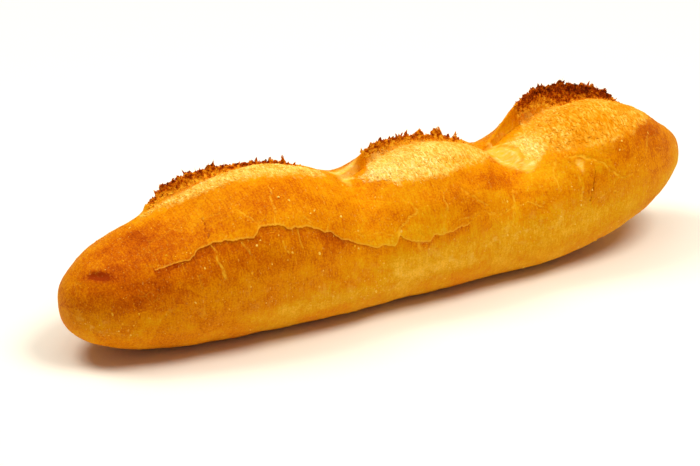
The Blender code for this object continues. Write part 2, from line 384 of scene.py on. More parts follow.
def guide_lines(x):
    """The angles that the mesh's columns follow: the two lips, the foot of the ear's face, the ledge and the sole."""
    pairs = [lips(slash, x) for slash in SLASHES]
    far_lip = chained(x, *(pair[0] for pair in pairs))
    foot = far_lip + FACE_ANGLE
    near_lip = np.maximum(chained(x, *(pair[1] for pair in pairs)), foot + LEAST_CRUMB_ANGLE)
    ledge = np.maximum(ledge_angle(x), near_lip + LEAST_UPPER_ANGLE)
    widest, sole = section_heights(x)[1:]
    level = np.clip(widest / (widest - sole), 0.0, SOLE_EDGE_LIMIT)
    edge = 180.0 + np.degrees(np.arcsin(level ** (1.0 / SOLE_ROUNDNESS)))
    return far_lip, foot, near_lip, ledge, edge


def spread(start, end, count, first=1.0, last=1.0):
    """Columns of angles from start up to but not at end. They crowd together where a power is over 1."""
    share = np.arange(count)[None, :] / count
    share = 1.0 - (1.0 - share**first) ** last
    return start[:, None] + (end - start)[:, None] * share


def angle_grid(x):
    far_lip, foot, near_lip, ledge, edge = guide_lines(x)
    full_turn = np.full_like(x, 270.0)
    return np.concatenate([
        spread(full_turn - 360.0, 180.0 - edge, SOLE_COLUMNS),
        spread(180.0 - edge, far_lip, BACK_COLUMNS, last=CROWDING),
        spread(far_lip, foot, FACE_COLUMNS),
        spread(foot, near_lip, CRUMB_COLUMNS),
        spread(near_lip, ledge, UPPER_COLUMNS),
        spread(ledge, ledge + STEP_ANGLE, STEP_COLUMNS),
        spread(ledge + STEP_ANGLE, edge, LOWER_COLUMNS),
        spread(edge, full_turn, SOLE_COLUMNS),
    ], axis=1)


# ---------------------------------------------------------------- relief


def line_distance(x, angle, line):
    """How far each point lies from a line of (x in mm, angle) points, measured on the crust."""
    places = np.stack([x, np.radians(angle) * ARC_RADIUS], axis=-1)
    ends = np.array([(px * MM, np.radians(turn) * ARC_RADIUS) for px, turn in line])
    nearest = np.full(x.shape, 1.0)
    for start, end in zip(ends[:-1], ends[1:]):
        along = end - start
        share = np.clip(((places - start) @ along) / (along @ along), 0.0, 1.0)
        nearest = np.minimum(nearest, np.linalg.norm(places - start - share[..., None] * along, axis=-1))
    return nearest


def ledge_strength(x):
    return ease(x, -102.0 * MM, -80.0 * MM) * (1.0 - 0.55 * ease(x, -30.0 * MM, -6.0 * MM)) * (
        1.0 - ease(x, 8.0 * MM, 26.0 * MM))


def ledge_relief(x, angle):
    """The upper crust lifts towards the ledge and drops there onto the lower crust."""
    below = np.radians(angle - ledge_angle(x)) * ARC_RADIUS
    plate = np.exp(np.minimum(below, 0.0) / (7.0 * MM)) * (1.0 - ease(below, 0.0, np.radians(STEP_ANGLE) * ARC_RADIUS))
    return LEDGE_HEIGHT * ledge_strength(x) * plate


def astray(x, angle, points):
    """Each point's x and angle moved a little off its place, so that straight lines drawn by them wander."""
    along = CRACK_WANDER * ripple(points, 5.0 * MM, 21.0) + 0.35 * CRACK_WANDER * ripple(points, 1.8 * MM, 25.0)
    round_about = CRACK_WANDER * ripple(points, 5.0 * MM, 31.0) + 0.35 * CRACK_WANDER * ripple(points, 1.8 * MM, 35.0)
    return x + along, angle + np.degrees(round_about / ARC_RADIUS)


def crack_field(x, angle):
    """The relief of the cracks, each point's distance to the nearest, and that one's tone."""
    relief = np.zeros(x.shape)
    nearest = np.full(x.shape, 1.0)
    tone = np.zeros(x.shape)
    for line, depth, shade in CRACKS:
        distance = line_distance(x, angle, line)
        groove = np.exp(-((distance / (0.45 * MM)) ** 2)) - 0.5 * np.exp(-((distance / (1.6 * MM)) ** 2))
        relief -= depth * MM * groove
        tone = np.where(distance < nearest, shade, tone)
        nearest = np.minimum(nearest, distance)
    return relief, nearest, tone


def dent_relief(x, angle):
    """How deep the dents are at each point, and how much darker the crust is there."""
    total = np.zeros(x.shape)
    darker = np.zeros(x.shape)
    for place, middle, length, height, slant, depth, bake in DENTS:
        along = (x / MM - place) / length
        across = (angle - middle - slant * (x / MM - place)) / height
        reach = along**2 + across**2
        total -= depth * MM * (np.exp(-reach) - 0.35 * np.exp(-0.25 * reach))
        darker += bake * np.exp(-0.8 * reach)
    return total, darker


def depth_inside(x, angle, outline):
    """How far inside a closed outline of (x in mm, angle) points each point lies: negative outside it."""
    closed = outline + outline[:1]
    inside = np.zeros(x.shape, bool)
    for (first_x, first_angle), (next_x, next_angle) in zip(closed[:-1], closed[1:]):
        between = (angle > first_angle) != (angle > next_angle)
        meets = first_x + (angle - first_angle) / ((next_angle - first_angle) or 1.0) * (next_x - first_x)
        inside ^= between & (x / MM < meets)
    return np.where(inside, 1.0, -1.0) * line_distance(x, angle, closed)


def stretched_skin(x, angle):
    """Where the skin is stretched smooth and pale, and the relief of its folds."""
    pale = np.zeros(x.shape)
    relief = np.zeros(x.shape)
    for strength, fading, outline in MEMBRANES:
        depth = depth_inside(x, angle, outline)
        pale = np.maximum(pale, 0.85 * strength * ease(depth, -0.35 * fading * MM, fading * MM))
    for line, height, paleness in FOLDS:
        ridge = np.exp(-((line_distance(x, angle, line) / FOLD_WIDTH) ** 2))
        relief = np.maximum(relief, height * MM * ridge)
        pale = pale + paleness * (1.0 - pale) * ridge
    return pale, relief


def crumb_depth(x, angle):
    """How far inside a slash's crumb each point lies, from its nearer edge: positive inside and negative outside."""
    depths = []
    for slash, ((start, end), line) in zip(SLASHES, CRUMB_EDGES):
        from_ear = ear_frame(slash, x, angle)[0]
        root = ROOT_SKIN * ease(ear_height(slash, x[:, 0])[0], 2.0 * MM, 6.0 * MM)[:, None]
        below_dark = CRUMB_CLIMB * (1.0 - ear_face(from_ear) - dark_share(slash, x))
        below_dark = below_dark + np.maximum(from_ear - EAR_FACE, 0.0)
        from_top = from_ear - root + (below_dark - from_ear + root) * torn_share(slash, x)
        places, angles = np.array(line).T
        from_edge = np.radians(np.interp(x / MM, places, angles) - angle) * ARC_RADIUS
        from_ends = np.minimum(x - start * MM, end * MM - x)
        depths.append(np.minimum(np.minimum(from_top, from_edge), from_ends))
    return np.max(depths, axis=0)


def surface_normals(points):
    """Outward normals of the grid of points. Rows run along the loaf, and columns go round it."""
    along = np.gradient(points, axis=0)
    around = np.roll(points, -1, axis=1) - np.roll(points, 1, axis=1)
    normals = np.cross(along, around)
    return normals / np.maximum(np.linalg.norm(normals, axis=-1, keepdims=True), 1e-12)


def crust_relief(x, angle, points, crumb, stretched):
    """Unevenness, plates and blisters of the crust, away from the crumb. Stretched skin is smoother."""
    on_crust = 1.0 - ease(crumb, -1.5 * MM, 0.5 * MM)
    uneven = 0.55 * MM * ripple(points, 24.0 * MM) + 0.22 * MM * ripple(points, 8.0 * MM, 3.0)
    skin = 0.07 * MM * ripple(points, 2.6 * MM, 7.0) + 0.03 * MM * ripple(points, 1.1 * MM, 11.0)
    return uneven + on_crust * (skin * (1.0 - 0.7 * stretched) + ledge_relief(x, angle)), on_crust


def crumb_bumps(x, angle):
    """How high each point of the crumb stands, about -1 to 1: torn lumps and grains, slanting across the slash."""
    arc = np.radians(angle) * ARC_RADIUS
    slanted = np.stack([x - 0.45 * arc, arc, np.zeros_like(x)], axis=-1)
    lumps = ripple(slanted, np.array([2.4 * MM, 3.0 * MM, 1.0]), 2.0)
    grains = ripple(slanted, np.array([1.05 * MM, 1.5 * MM, 1.0]), 6.0)
    return 0.45 * lumps + 0.55 * grains


def ear_masks(x, angle):
    """How toasted the ear is at each point, how torn its surface is, and where its crest runs, each 0 to 1."""
    toasted = np.zeros(x.shape)
    torn = np.zeros(x.shape)
    crest = np.zeros(x.shape)
    for slash in SLASHES:
        from_ear = ear_frame(slash, x, angle)[0]
        share = torn_share(slash, x)
        dark = dark_share(slash, x)
        drop = 1.0 - ear_face(from_ear)
        band = np.clip(1.45 - 1.45 * drop / (1.15 * dark), 0.0, 1.0)
        behind = np.exp(np.minimum(from_ear, 0.0) / (1.0 * MM))
        toasted = np.maximum(toasted, slash["toast"] * share * band * behind)
        foot = np.minimum(dark, 0.86)
        torn = np.maximum(torn, share * (from_ear > -0.2 * MM) * (1.0 - ease(drop, foot, foot + 0.13)))
        crest = np.maximum(crest, share * (from_ear > -0.3 * MM) * (from_ear < 0.5 * MM))
    return toasted, torn, crest


def ear_relief(points, torn):
    """Ridges of torn crust on the ears' faces."""
    return torn * (0.30 * MM * ripple(points, 1.6 * MM, 4.0) + 0.22 * MM * ripple(points, 0.8 * MM, 8.0))


# ---------------------------------------------------------------- mesh building


def grid_mesh(name, rings, tips):
    """A closed mesh from rings of points and a tip at each end."""
    count, columns = rings.shape[:2]
    points = np.concatenate([rings.reshape(-1, 3), tips])
    index = np.arange(count * columns).reshape(count, columns)
    following = np.roll(index, -1, axis=1)
    quads = np.stack([index[:-1], index[1:], following[1:], following[:-1]], axis=-1).reshape(-1, 4)
    left_tip, right_tip = count * columns, count * columns + 1
    left_fan = [(left_tip, a, b) for a, b in zip(index[0], following[0])]
    right_fan = [(right_tip, b, a) for a, b in zip(index[-1], following[-1])]
    mesh = bpy.data.meshes.new(name)
    mesh.from_pydata(points.tolist(), [], quads.tolist() + left_fan + right_fan)
    mesh.shade_smooth()
    return mesh


def store(mesh, name, rings, tip_values=(0.0, 0.0)):
    """Keeps one number for each point of a grid mesh, for the material to read."""
    attribute = mesh.attributes.new(name, "FLOAT", "POINT")
    attribute.data.foreach_set("value", np.concatenate([rings.ravel(), tip_values]).astype(np.float32))


# The crust's baking, from 0 (pale) to 1 (dark), as soft patches: x in mm, angle, half-lengths in mm and degrees, change
BAKE_PATCHES = (
    (-120, 138, 20, 30, 0.14),
    (-105, 165, 24, 16, 0.29),
    (-108, 120, 26, 34, 0.20),
    (-104, 92, 18, 18, 0.26),
    (-60, 104, 26, 10, 0.06),
    (-112, 200, 26, 26, 0.08),
    (-72, 148, 44, 13, 0.24),
    (-46, 158, 22, 12, 0.06),
    (-60, 176, 52, 18, 0.11),
    (-55, 116, 34, 16, 0.09),
    (36, 126, 20, 14, 0.20),
    (62, 136, 12, 9, -0.08),
    (-6, 156, 22, 12, -0.14),
    (-33, 190, 22, 8, -0.08),
    (-34, 124, 20, 10, 0.04),
    (10, 134, 14, 8, 0.07),
    (14, 188, 26, 8, -0.16),
    (-31, 197, 16, 8, -0.06),
    (-118, 186, 10, 9, -0.07),
    (-114, 158, 9, 8, -0.06),
    (-66, 146, 16, 9, -0.07),
    (-107, 133, 9, 8, 0.07),
    (22, 141, 14, 12, 0.08),
    (4, 182, 24, 12, -0.12),
    (32, 168, 24, 12, -0.05),
    (110, 126, 22, 32, 0.21),
    (-44, 194, 30, 9, -0.16),
    (84, 178, 18, 10, -0.05),
    (84, 150, 14, 12, -0.07),
    (-84, 172, 16, 10, -0.08),
    (-12, 120, 20, 10, -0.06),
    (60, 130, 10, 10, -0.08),
)
LOWER_BAND_CHANGE = -0.16
# Where the crumb is palest
PALE_CRUMB_PATCHES = (
    (-3, 104, 28, 26, 0.85),
    (-62, 80, 44, 18, 0.25),
    (86, 106, 42, 38, -1.10),
    (60, 104, 8, 24, 1.5),
)
# Flour left on the crust: x in mm, angle, half-lengths in mm and degrees, and how much
FLOUR_PATCHES = (
    (-123, 191, 9, 12, 0.75),
    (-10, 192, 34, 9, 0.80),
    (30, 180, 42, 12, 0.60),
    (75, 172, 30, 14, 0.50),
    (-60, 178, 40, 14, 0.25),
    (0, 232, 110, 24, 0.35),
    (-30, 350, 70, 20, 0.45),
    (60, 0, 50, 25, 0.35),
)


def soft_patches(x, angle, patches):
    """The sum of soft round patches on the crust."""
    turn = np.mod(angle + 90.0, 360.0) - 90.0
    total = np.zeros(x.shape)
    for place, middle, length, height, amount in patches:
        around = np.mod(turn - middle + 180.0, 360.0) - 180.0
        reach = ((x / MM - place) / length) ** 2 + (around / height) ** 2
        total += amount * np.exp(-1.5 * reach)
    return total


def bake_field(x, angle):
    """How far each point is baked, 0 to 1: yellower low down on both sides and on the sole's edge."""
    turn = np.mod(angle + 90.0, 360.0) - 90.0
    front_band = ease(turn, 154.0, 182.0) * (1.0 - 0.5 * ease(turn, 215.0, 240.0))
    back_band = ease(-turn, -22.0, 6.0)
    lower = np.where(turn > 90.0, front_band, back_band) * (0.35 + 0.65 * ease(x, -70.0 * MM, 0.0))
    return 0.50 + LOWER_BAND_CHANGE * lower + soft_patches(x, angle, BAKE_PATCHES)


def unit(vectors):
    return vectors / np.maximum(np.linalg.norm(vectors, axis=-1, keepdims=True), 1e-9)


def lay_directions(points, normals, torn):
    """Which way shards and strands lie: upwards on the torn ears, and slanting across the slashes elsewhere."""
    along = unit(np.gradient(points, axis=0))
    around = unit(np.roll(points, -1, axis=1) - np.roll(points, 1, axis=1))
    upwards = unit(0.55 * normals + np.array([0.0, -0.25, 0.85]))
    across = unit(around + 0.45 * along)
    return np.where(torn[..., None] > 0.05, upwards, across)


def store_directions(mesh, name, rings):
    held_vectors = mesh.attributes.new(name, "FLOAT_VECTOR", "POINT")
    values = np.concatenate([rings.reshape(-1, 3), [(0.0, 0.0, 1.0)] * 2])
    held_vectors.data.foreach_set("vector", values.astype(np.float32).ravel())


def make_loaf():
    places = stations()
    inner = places[1:-1]
    angle = angle_grid(inner)
    x = np.broadcast_to(inner[:, None], angle.shape)
    smooth = loaf_surface(x, angle)
    normals = surface_normals(smooth)
    if (normals[STATIONS // 2, 0, 2]) > 0.0:
        normals = -normals

    crumb = crumb_depth(x, angle)
    toasted, torn, crest = ear_masks(x, angle)
    strayed, turned = astray(x, angle, smooth)
    cracks, crack_distance, crack_tone = crack_field(strayed, turned)
    stretched, folds = stretched_skin(strayed, turned)
    dents, darker = dent_relief(x, angle)
    bumps = crumb_bumps(x, angle)
    relief, on_crust = crust_relief(x, angle, smooth, crumb, stretched)
    relief = relief + on_crust * (cracks + folds) + dents
    relief = relief + CRUMB_BUMP * bumps * ease(crumb, -0.6 * MM, 1.8 * MM) * (1.0 - torn) + ear_relief(smooth, torn)
    end_fade = ease(fullness(x), 0.10, 0.5)
    rings = smooth + normals * (relief * end_fade)[..., None]
    rings[..., 2] = np.maximum(rings[..., 2], 0.0)
    rings[..., 1] += MIDDLE_Y - (rings[..., 1].min() + rings[..., 1].max()) / 2.0
    tips = np.array([(places[0], MIDDLE_Y, LEFT_TIP_HEIGHT), (places[-1], MIDDLE_Y, RIGHT_TIP_HEIGHT)])

    mesh = grid_mesh("loaf_skin", rings, tips)
    arc = np.radians(angle) * ARC_RADIUS
    store(mesh, "crumb", crumb / MM, (-99.0, -99.0))
    store(mesh, "toasted", toasted)
    store(mesh, "torn", torn)
    store(mesh, "crest", crest)
    store(mesh, "crack", crack_distance / MM, (99.0, 99.0))
    store(mesh, "crack_tone", crack_tone)
    store(mesh, "membrane", stretched)
    # The crumb's bump height, which the crust's colour also reads to paint highlight on raised crumb and shade in its
    # pits
    store(mesh, "crumb_bump", bumps)
    store(mesh, "crumb_pale", soft_patches(x, angle, PALE_CRUMB_PATCHES))
    store(mesh, "ledge", np.where(ledge_strength(x) > 0.02, (arc - np.radians(ledge_angle(x)) * ARC_RADIUS) / MM, 9.0),
          (9.0, 9.0))
    store(mesh, "bake", bake_field(x, angle) + darker, (0.7, 0.5))
    store(mesh, "flour", soft_patches(x, angle, FLOUR_PATCHES))
    store(mesh, "along", x / MM, (-131.0, 131.0))
    store(mesh, "around", arc / MM)
    store_directions(mesh, "lay", lay_directions(rings, normals, torn))
    loaf = bpy.data.objects.new("loaf_skin", mesh)
    bpy.context.scene.collection.objects.link(loaf)
    return loaf


# ---------------------------------------------------------------- node helpers


def wire(tree, source, socket):
    """Feeds a socket from another socket, or sets its value."""
    if isinstance(source, bpy.types.NodeSocket):
        tree.links.new(source, socket)
    else:
        socket.default_value = source


def node(tree, kind, inputs=(), **settings):
    """A new node with these settings, and with its inputs fed by name or number."""
    made = tree.nodes.new(kind)
    for name, value in settings.items():
        setattr(made, name, value)
    for key, source in dict(inputs).items():
        wire(tree, source, made.inputs[key])
    return made


def maths(tree, operation, *values):
    return node(tree, "ShaderNodeMath", enumerate(values), operation=operation).outputs[0]


def fade(tree, value, start, end, low=0.0, high=1.0):
    """A smooth change from low to high as the value goes from start to end."""
    inputs = {"Value": value, "From Min": start, "From Max": end, "To Min": low, "To Max": high}
    if start > end:
        inputs.update({"From Min": end, "From Max": start, "To Min": high, "To Max": low})
    return node(tree, "ShaderNodeMapRange", inputs, interpolation_type="SMOOTHSTEP").outputs["Result"]


def speckle(tree, place, scale, detail=2.0, roughness=0.55, distortion=0.0):
    inputs = {"Vector": place, "Scale": scale, "Detail": detail, "Roughness": roughness, "Distortion": distortion}
    return node(tree, "ShaderNodeTexNoise", inputs).outputs["Fac"]


def tint(tree, share, first, second, mode="MIX"):
    """Two colours mixed by a share."""
    return node(tree, "ShaderNodeMix", {0: share, 6: first, 7: second}, data_type="RGBA", blend_type=mode).outputs[2]


def shades(tree, value, *stops):
    """A colour for each value, from (position, colour) stops."""
    made = node(tree, "ShaderNodeValToRGB", {"Fac": value})
    points = made.color_ramp.elements
    for point, (position, color) in zip((points[0], points[1]), stops):
        point.position, point.color = position, (*color, 1.0)
    for position, color in stops[2:]:
        points.new(position).color = (*color, 1.0)
    return made.outputs["Color"]


def group_tree(name, inputs, outputs):
    """An empty shader group, and its input and output nodes."""
    tree = bpy.data.node_groups.new(name, "ShaderNodeTree")
    for socket, kind in inputs:
        tree.interface.new_socket(socket, in_out="INPUT", socket_type=kind)
    for socket, kind in outputs:
        tree.interface.new_socket(socket, in_out="OUTPUT", socket_type=kind)
    return tree, tree.nodes.new("NodeGroupInput"), tree.nodes.new("NodeGroupOutput")


def use_group(tree, group, inputs):
    made = tree.nodes.new("ShaderNodeGroup")
    made.node_tree = group
    for key, source in inputs.items():
        wire(tree, source, made.inputs[key])
    return made


NUMBER, COLOR, VECTOR = "NodeSocketFloat", "NodeSocketColor", "NodeSocketVector"

# ---------------------------------------------------------------- finishes


MEMBRANE = (0.97, 0.53, 0.045)
STRAW = (0.78, 0.36, 0.003)
GOLD = (0.74, 0.235, 0.0)
AMBER = (0.54, 0.105, 0.0)
CHESTNUT = (0.30, 0.030, 0.0)
CHARRED = (0.045, 0.008, 0.002)
CRUMB_CREAM = (1.0, 0.80, 0.30)
CRUMB_PALE = (0.97, 0.62, 0.120)
CRUMB_GOLD = (0.86, 0.38, 0.022)
SKIN_GOLD = (0.92, 0.46, 0.020)
SKIN_PALE = (0.97, 0.50, 0.08)
SKIN_CREAM = (1.0, 0.77, 0.26)
FLOUR = (0.94, 0.62, 0.13)


def golden_bake():
    """The crust's colour from how far it is baked, with mottling at three sizes and stretch marks round the loaf."""
    tree, given, out = group_tree("golden_bake", (("Place", VECTOR), ("Skin", VECTOR), ("Bake", NUMBER)),
                                  (("Color", COLOR),))
    place = given.outputs["Place"]
    broad = fade(tree, speckle(tree, place, 55.0, 3.0), 0.3, 0.7, -0.05, 0.05)
    patchy = fade(tree, speckle(tree, place, 210.0, 5.0, 0.65), 0.3, 0.7, -0.07, 0.07)
    grains = fade(tree, speckle(tree, place, 1500.0, 2.0, 0.7), 0.3, 0.7, -0.10, 0.10)
    marks = node(tree, "ShaderNodeMapping", {"Vector": given.outputs["Skin"], "Scale": (1.5, 0.22, 1.0)}).outputs[0]
    marks = fade(tree, speckle(tree, marks, 0.9, 3.0, 0.6), 0.3, 0.7, 0.06, -0.06)
    bake = maths(tree, "ADD", maths(tree, "ADD", given.outputs["Bake"], broad), maths(tree, "ADD", patchy, grains))
    bake = maths(tree, "ADD", bake, marks)
    color = shades(tree, bake, (0.02, MEMBRANE), (0.28, STRAW), (0.50, GOLD), (0.74, AMBER), (1.0, CHESTNUT))
    wire(tree, color, out.inputs["Color"])
    return tree


def crackle():
    """Fine pale cracks between plates of crust, which come and go."""
    tree, given, out = group_tree(
        "crackle", (("Place", VECTOR), ("Line", NUMBER)),
        (("Pale", NUMBER), ("Fine", NUMBER), ("Plate", NUMBER), ("Height", NUMBER)))
    place = given.outputs["Place"]
    bent = node(tree, "ShaderNodeTexNoise", {"Vector": place, "Scale": 130.0, "Detail": 3.0}).outputs["Color"]
    bent = node(tree, "ShaderNodeVectorMath", {0: bent, 1: (0.5, 0.5, 0.5)}, operation="SUBTRACT").outputs[0]
    bent = node(tree, "ShaderNodeVectorMath", {0: bent, "Scale": 0.005}, operation="SCALE").outputs[0]
    bent = node(tree, "ShaderNodeVectorMath", {0: place, 1: bent}, operation="ADD").outputs[0]
    edges = node(tree, "ShaderNodeTexVoronoi", {"Vector": bent, "Scale": 150.0}, feature="DISTANCE_TO_EDGE")
    cells = node(tree, "ShaderNodeTexVoronoi", {"Vector": bent, "Scale": 72.0}, feature="F1")
    thin = fade(tree, edges.outputs["Distance"], 0.032, 0.0)
    shown = fade(tree, speckle(tree, place, 90.0, 3.0), 0.50, 0.62)
    fine = maths(tree, "MULTIPLY", thin, shown)
    drawn = fade(tree, given.outputs["Line"], 0.57, 0.13)
    broken = fade(tree, speckle(tree, place, 420.0, 2.0), 0.33, 0.55)
    drawn = maths(tree, "MULTIPLY", drawn, broken)
    wire(tree, drawn, out.inputs["Pale"])
    wire(tree, fine, out.inputs["Fine"])
    wire(tree, node(tree, "ShaderNodeSeparateColor", {0: cells.outputs["Color"]}).outputs[0], out.inputs["Plate"])
    wire(tree, maths(tree, "MULTIPLY", maths(tree, "MAXIMUM", fine, drawn), -1.0), out.inputs["Height"])
    return tree


def flour_dust():
    """Whitish specks and short streaks of flour, thicker where the mask is higher."""
    tree, given, out = group_tree("flour_dust", (("Place", VECTOR), ("Skin", VECTOR), ("Amount", NUMBER)),
                                  (("Cover", NUMBER),))
    place, skin, amount = (given.outputs[name] for name in ("Place", "Skin", "Amount"))
    streaks = node(tree, "ShaderNodeMapping", {"Vector": skin, "Rotation": (0.0, 0.0, 0.35), "Scale": (1.6, 0.45, 1.0)})
    streaks = fade(tree, speckle(tree, streaks.outputs[0], 1.15, 2.0, 0.5), 0.645, 0.72)
    specks = fade(tree, speckle(tree, place, 850.0, 1.0, 0.5), 0.70, 0.76)
    patches = fade(tree, speckle(tree, place, 260.0, 4.0, 0.65), 0.50, 0.72)
    dusty = maths(tree, "MULTIPLY", patches, amount)
    thick = maths(tree, "ADD", 0.35, maths(tree, "MULTIPLY", amount, 1.2))
    marks = maths(tree, "MULTIPLY", maths(tree, "MAXIMUM", streaks, specks), thick)
    cover = node(tree, "ShaderNodeMath", {0: marks, 1: dusty}, operation="MAXIMUM", use_clamp=True).outputs[0]
    wire(tree, cover, out.inputs["Cover"])
    return tree


def stretched_skin_color():
    """Thin pale skin: yellow, and cream along its folds and in slanting streaks."""
    tree, given, out = group_tree("stretched_skin", (("Place", VECTOR), ("Skin", VECTOR), ("Stretch", NUMBER)),
                                  (("Color", COLOR),))
    skin = node(tree, "ShaderNodeMapping", {"Vector": given.outputs["Skin"], "Rotation": (0.0, 0.0, -0.5),
                                            "Scale": (0.45, 1.3, 1.0)}).outputs[0]
    streaks = fade(tree, speckle(tree, skin, 0.75, 4.0, 0.6, 0.4), 0.3, 0.7, 0.22, 0.52)
    value = maths(tree, "MULTIPLY_ADD", speckle(tree, given.outputs["Place"], 800.0, 3.0, 0.6), 0.30, streaks)
    value = maths(tree, "MULTIPLY_ADD", fade(tree, given.outputs["Stretch"], 0.55, 1.0), 0.14, value)
    color = shades(tree, value, (0.40, SKIN_GOLD), (0.62, SKIN_PALE), (0.86, SKIN_CREAM))
    wire(tree, color, out.inputs["Color"])
    return tree


def crumb_fibres():
    """Torn crumb: pale strands slanting across the slash, over deeper gold, with painted highlight on raised crumb and
    painted shade in its pits.
    """
    tree, given, out = group_tree("crumb_fibres", (("Place", VECTOR), ("Skin", VECTOR), ("Pale", NUMBER), ("Bump", NUMBER)),
                                  (("Color", COLOR), ("Height", NUMBER)))
    skin = node(tree, "ShaderNodeMapping", {"Vector": given.outputs["Skin"], "Rotation": (0.0, 0.0, 0.42),
                                            "Scale": (1.0, 0.30, 1.0)}).outputs[0]
    strands = speckle(tree, skin, 1.5, 3.0, 0.6, 0.6)
    pits = speckle(tree, given.outputs["Place"], 700.0, 2.0, 0.5)
    broad = speckle(tree, given.outputs["Place"], 120.0, 2.0, 0.5)
    mixed = maths(tree, "ADD", maths(tree, "MULTIPLY", strands, 0.6), maths(tree, "MULTIPLY", pits, 0.25))
    mixed = maths(tree, "ADD", mixed, maths(tree, "MULTIPLY", broad, 0.30))
    pale_and_highlit = maths(tree, "MULTIPLY_ADD", given.outputs["Pale"], 0.11, mixed)
    # Painted highlight and shade: raised crumb is made paler and its pits deeper gold
    pale_and_highlit = maths(tree, "MULTIPLY_ADD", given.outputs["Bump"], 0.05, pale_and_highlit)
    color = shades(tree, pale_and_highlit, (0.40, GOLD), (0.52, CRUMB_GOLD), (0.66, CRUMB_PALE), (0.78, CRUMB_CREAM))
    wire(tree, color, out.inputs["Color"])
    wire(tree, mixed, out.inputs["Height"])
    return tree


def toasted_edge():
    """The torn ear: gold at its foot, chestnut above and charred along the crest."""
    tree, given, out = group_tree("toasted_edge", (("Place", VECTOR), ("Toasted", NUMBER)), (("Color", COLOR),))
    uneven = fade(tree, speckle(tree, given.outputs["Place"], 620.0, 5.0, 0.7), 0.3, 0.7, -0.34, 0.34)
    value = maths(tree, "ADD", given.outputs["Toasted"], uneven)
    color = shades(tree, value, (0.0, (0.90, 0.45, 0.020)), (0.30, (0.74, 0.22, 0.002)), (0.58, (0.42, 0.056, 0.001)),
                   (0.95, (0.13, 0.018, 0.001)))
    wire(tree, color, out.inputs["Color"])
    return tree


# ---------------------------------------------------------------- torn edges, strands of crumb and grains of flour


def growing_tree(name, inputs):
    """An empty geometry tree that takes the loaf and these named inputs, and its input and output nodes."""
    tree = bpy.data.node_groups.new(name, "GeometryNodeTree")
    tree.interface.new_socket("Loaf", in_out="INPUT", socket_type="NodeSocketGeometry")
    for socket, kind in inputs:
        tree.interface.new_socket(socket, in_out="INPUT", socket_type=kind)
    tree.interface.new_socket("Grown", in_out="OUTPUT", socket_type="NodeSocketGeometry")
    return tree, tree.nodes.new("NodeGroupInput").outputs, tree.nodes.new("NodeGroupOutput").inputs


def held(tree, name, kind="FLOAT"):
    """A number or vector that the loaf's mesh holds by name."""
    return node(tree, "GeometryNodeInputNamedAttribute", {"Name": name}, data_type=kind).outputs["Attribute"]


def random_number(tree, least, most, seed):
    return node(tree, "FunctionNodeRandomValue", {2: least, 3: most, "Seed": seed}, data_type="FLOAT").outputs[1]


def random_vector(tree, reach, seed):
    inputs = {0: (-reach,) * 3, 1: (reach,) * 3, "Seed": seed}
    return node(tree, "FunctionNodeRandomValue", inputs, data_type="FLOAT_VECTOR").outputs[0]


def vector_maths(tree, operation, first, second):
    key = "Scale" if operation == "SCALE" else 1
    return node(tree, "ShaderNodeVectorMath", {0: first, key: second}, operation=operation).outputs[0]


def turned_along(tree, way, facing, axis="Z"):
    """A rotation that lays an axis along one direction, and as far as it can turns X or Z to face another."""
    first = node(tree, "FunctionNodeAlignRotationToVector", {"Vector": way}, axis=axis)
    other = "Z" if axis == "X" else "X"
    second = node(tree, "FunctionNodeAlignRotationToVector", {"Rotation": first.outputs[0], "Vector": facing},
                  axis=other, pivot_axis=axis)
    return second.outputs[0]


def shaken(tree, shape, size, reach):
    """The shape with its points moved by smooth noise, so that no two pieces of it are alike."""
    position = node(tree, "GeometryNodeInputPosition").outputs[0]
    drift = node(tree, "ShaderNodeTexNoise", {"Vector": position, "Scale": 1.0 / size, "Detail": 1.0}).outputs["Color"]
    drift = vector_maths(tree, "SUBTRACT", drift, (0.5, 0.5, 0.5))
    drift = vector_maths(tree, "SCALE", drift, reach * 2.0)
    return node(tree, "GeometryNodeSetPosition", {"Geometry": shape, "Offset": drift}).outputs[0]


def shaded(tree, placed, seed):
    """The instances with a random number of their own from 0 to 1, for their material to read."""
    return node(tree, "GeometryNodeStoreNamedAttribute", {
        "Geometry": placed, "Name": "shade", "Value": random_number(tree, 0.0, 1.0, seed)},
        data_type="FLOAT", domain="INSTANCE").outputs[0]


